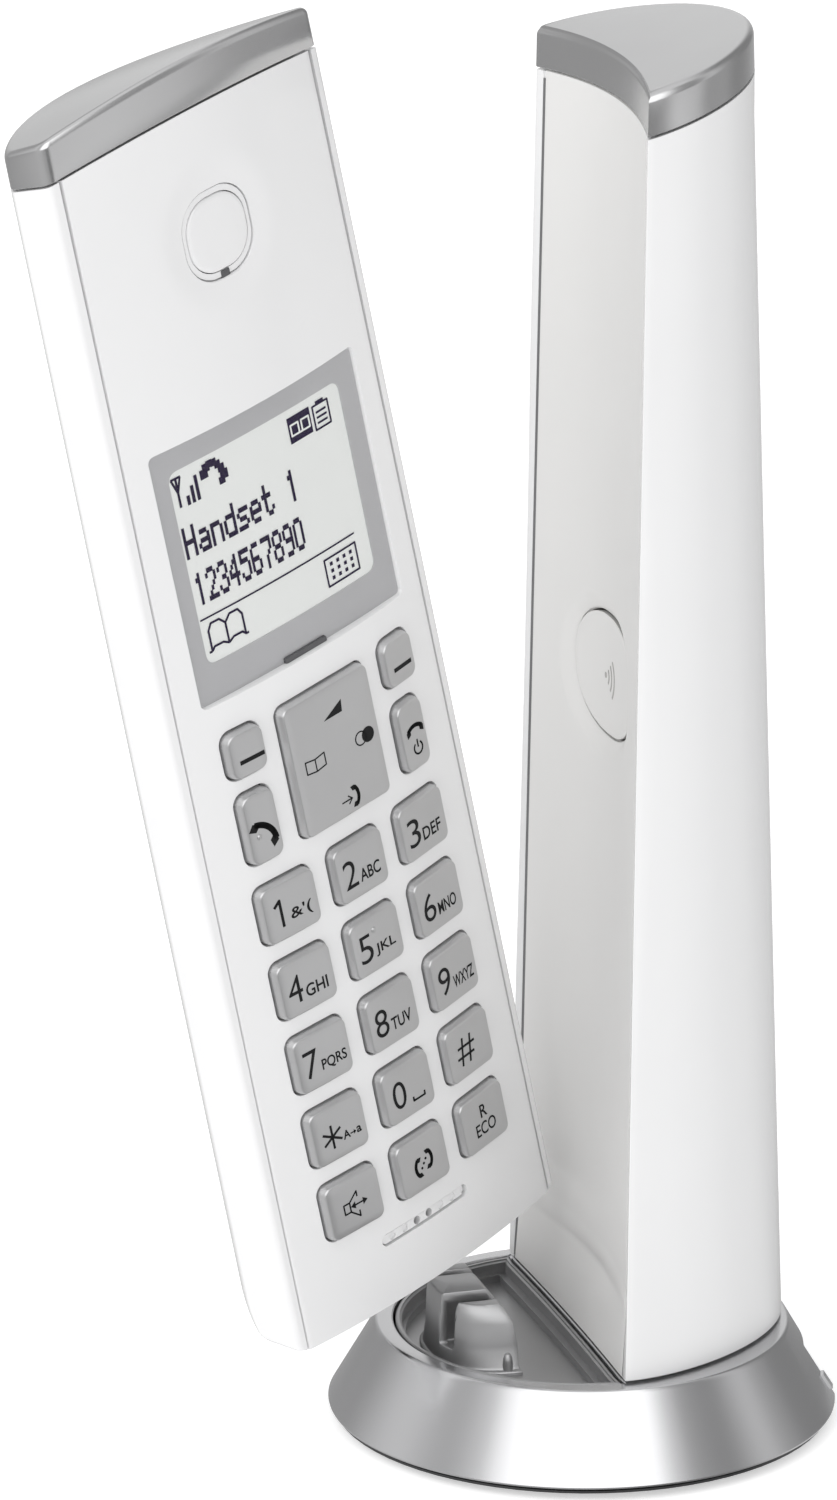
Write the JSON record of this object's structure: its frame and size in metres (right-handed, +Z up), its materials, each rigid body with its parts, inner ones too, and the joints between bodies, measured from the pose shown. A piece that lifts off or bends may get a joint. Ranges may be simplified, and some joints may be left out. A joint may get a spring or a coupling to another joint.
{
  "type": "cordless phone with base",
  "caption": "Slim white and silver cordless handset held off a round base that carries a tall tapered tower.",
  "frame": {"origin": "centre of the base's underside, on the foot pad", "axes": "+Z up; -Y is the way the tower's hollow face and the charging cradle look; +X completes the right-handed set"},
  "size_m": [0.07, 0.1181, 0.2002],
  "materials": {
    "white_shell": "gloss",
    "warm_grey_face": "satin",
    "satin_silver": "satin silver paint",
    "cradle_grey": "dark metallic satin",
    "key_silver": "satin metallic",
    "steel": "plain",
    "contact_gold": "polished",
    "board_green": "solder mask",
    "black_plastic": "matt",
    "clear_window": "polished",
    "lcd_grey": "smooth",
    "mat_rubber": "matt",
    "cell_wrap": "printed shrink wrap"
  },
  "bodies": {
    "base": {"base_ring": "satin_silver", "bottom_plate": "cradle_grey", "foot_pad": "mat_rubber", "base_weight": "steel", "base_screw_left": "steel", "base_screw_right": "steel", "cradle_tray": "cradle_grey", "tower_shell": "white_shell", "tower_front": "warm_grey_face", "tower_cap": "satin_silver", "page_switch": "black_plastic", "base_board": "board_green", "antenna": "steel", "tower_ballast": "steel", "line_socket": "black_plastic", "power_socket": "black_plastic"},
    "page_button": {"page_button": "warm_grey_face"},
    "charge_pin_left": {"charge_pin_left": "contact_gold"},
    "charge_pin_right": {"charge_pin_right": "contact_gold"},
    "handset": {"hs_rear_shell": "white_shell", "hs_front_cover": "white_shell", "hs_top_cap": "satin_silver", "hs_window": "clear_window", "hs_lcd_module": "lcd_grey", "hs_earpiece_disc": "white_shell", "hs_receiver": "black_plastic", "hs_microphone": "black_plastic", "hs_keypad_mat": "mat_rubber", "hs_board": "board_green", "hs_ringer": "black_plastic", "hs_cell_left": "cell_wrap", "hs_cell_right": "cell_wrap", "hs_cell_contact_top": "steel", "hs_cell_contact_foot": "steel", "hs_dock_socket": "black_plastic", "hs_charge_pad_left": "contact_gold", "hs_charge_pad_right": "contact_gold", "hs_screw_left": "steel", "hs_screw_right": "steel"},
    "battery_cover": {"battery_cover": "white_shell"},
    "key_soft_left": {"key_soft_left": "key_silver"},
    "key_soft_right": {"key_soft_right": "key_silver"},
    "key_navigator": {"key_navigator": "key_silver"},
    "key_talk": {"key_talk": "key_silver"},
    "key_off": {"key_off": "key_silver"},
    "key_1": {"key_1": "key_silver"},
    "key_2": {"key_2": "key_silver"},
    "key_3": {"key_3": "key_silver"},
    "key_4": {"key_4": "key_silver"},
    "key_5": {"key_5": "key_silver"},
    "key_6": {"key_6": "key_silver"},
    "key_7": {"key_7": "key_silver"},
    "key_8": {"key_8": "key_silver"},
    "key_9": {"key_9": "key_silver"},
    "key_star": {"key_star": "key_silver"},
    "key_0": {"key_0": "key_silver"},
    "key_hash": {"key_hash": "key_silver"},
    "key_speaker": {"key_speaker": "key_silver"},
    "key_intercom": {"key_intercom": "key_silver"},
    "key_recall": {"key_recall": "key_silver"}
  },
  "joints": [
    {"name": "handset_lift", "type": "slide", "parent": "base", "child": "handset", "axis": [0, 0, 1], "range_m": [0, 0.12]},
    {"name": "page_press", "type": "slide", "parent": "base", "child": "page_button", "axis": [0, 1, 0], "range_m": [0, 0.0006], "stiffness_N_per_m": 900, "springref_m": -0.0006},
    {"name": "charge_pin_left_press", "type": "slide", "parent": "base", "child": "charge_pin_left", "axis": [0, 0, -1], "range_m": [0, 0.001], "stiffness_N_per_m": 250, "springref_m": -0.0006},
    {"name": "charge_pin_right_press", "type": "slide", "parent": "base", "child": "charge_pin_right", "axis": [0, 0, -1], "range_m": [0, 0.001], "stiffness_N_per_m": 250, "springref_m": -0.0006},
    {"name": "key_soft_left_press", "type": "slide", "parent": "handset", "child": "key_soft_left", "axis": [-0.8855, -0.4644, -0.0158], "range_m": [0, 0.0005], "stiffness_N_per_m": 300, "springref_m": -0.0006},
    {"name": "key_soft_right_press", "type": "slide", "parent": "handset", "child": "key_soft_right", "axis": [-0.8855, -0.4644, -0.0158], "range_m": [0, 0.0005], "stiffness_N_per_m": 300, "springref_m": -0.0006},
    {"name": "navigator_rock", "type": "hinge", "parent": "handset", "child": "key_navigator", "pos_m": [0.01052, -0.04048, 0.1015], "axis": [-0.4543, 0.8581, 0.2392], "range_deg": [-1.7, 1.7], "stiffness_Nm_per_rad": 0.02},
    {"name": "key_talk_press", "type": "slide", "parent": "handset", "child": "key_talk", "axis": [-0.8855, -0.4644, -0.0158], "range_m": [0, 0.0005], "stiffness_N_per_m": 300, "springref_m": -0.0006},
    {"name": "key_off_press", "type": "slide", "parent": "handset", "child": "key_off", "axis": [-0.8855, -0.4644, -0.0158], "range_m": [0, 0.0005], "stiffness_N_per_m": 300, "springref_m": -0.0006},
    {"name": "key_1_press", "type": "slide", "parent": "handset", "child": "key_1", "axis": [-0.8855, -0.4644, -0.0158], "range_m": [0, 0.0005], "stiffness_N_per_m": 300, "springref_m": -0.0006},
    {"name": "key_2_press", "type": "slide", "parent": "handset", "child": "key_2", "axis": [-0.8855, -0.4644, -0.0158], "range_m": [0, 0.0005], "stiffness_N_per_m": 300, "springref_m": -0.0006},
    {"name": "key_3_press", "type": "slide", "parent": "handset", "child": "key_3", "axis": [-0.8855, -0.4644, -0.0158], "range_m": [0, 0.0005], "stiffness_N_per_m": 300, "springref_m": -0.0006},
    {"name": "key_4_press", "type": "slide", "parent": "handset", "child": "key_4", "axis": [-0.8855, -0.4644, -0.0158], "range_m": [0, 0.0005], "stiffness_N_per_m": 300, "springref_m": -0.0006},
    {"name": "key_5_press", "type": "slide", "parent": "handset", "child": "key_5", "axis": [-0.8855, -0.4644, -0.0158], "range_m": [0, 0.0005], "stiffness_N_per_m": 300, "springref_m": -0.0006},
    {"name": "key_6_press", "type": "slide", "parent": "handset", "child": "key_6", "axis": [-0.8855, -0.4644, -0.0158], "range_m": [0, 0.0005], "stiffness_N_per_m": 300, "springref_m": -0.0006},
    {"name": "key_7_press", "type": "slide", "parent": "handset", "child": "key_7", "axis": [-0.8855, -0.4644, -0.0158], "range_m": [0, 0.0005], "stiffness_N_per_m": 300, "springref_m": -0.0006},
    {"name": "key_8_press", "type": "slide", "parent": "handset", "child": "key_8", "axis": [-0.8855, -0.4644, -0.0158], "range_m": [0, 0.0005], "stiffness_N_per_m": 300, "springref_m": -0.0006},
    {"name": "key_9_press", "type": "slide", "parent": "handset", "child": "key_9", "axis": [-0.8855, -0.4644, -0.0158], "range_m": [0, 0.0005], "stiffness_N_per_m": 300, "springref_m": -0.0006},
    {"name": "key_star_press", "type": "slide", "parent": "handset", "child": "key_star", "axis": [-0.8855, -0.4644, -0.0158], "range_m": [0, 0.0005], "stiffness_N_per_m": 300, "springref_m": -0.0006},
    {"name": "key_0_press", "type": "slide", "parent": "handset", "child": "key_0", "axis": [-0.8855, -0.4644, -0.0158], "range_m": [0, 0.0005], "stiffness_N_per_m": 300, "springref_m": -0.0006},
    {"name": "key_hash_press", "type": "slide", "parent": "handset", "child": "key_hash", "axis": [-0.8855, -0.4644, -0.0158], "range_m": [0, 0.0005], "stiffness_N_per_m": 300, "springref_m": -0.0006},
    {"name": "key_speaker_press", "type": "slide", "parent": "handset", "child": "key_speaker", "axis": [-0.8855, -0.4644, -0.0158], "range_m": [0, 0.0005], "stiffness_N_per_m": 300, "springref_m": -0.0006},
    {"name": "key_intercom_press", "type": "slide", "parent": "handset", "child": "key_intercom", "axis": [-0.8855, -0.4644, -0.0158], "range_m": [0, 0.0005], "stiffness_N_per_m": 300, "springref_m": -0.0006},
    {"name": "key_recall_press", "type": "slide", "parent": "handset", "child": "key_recall", "axis": [-0.8855, -0.4644, -0.0158], "range_m": [0, 0.0005], "stiffness_N_per_m": 300, "springref_m": -0.0006},
    {"name": "battery_cover_slide", "type": "slide", "parent": "handset", "child": "battery_cover", "axis": [-0.0976, 0.219, -0.9708], "range_m": [0, 0.004]}
  ]
}
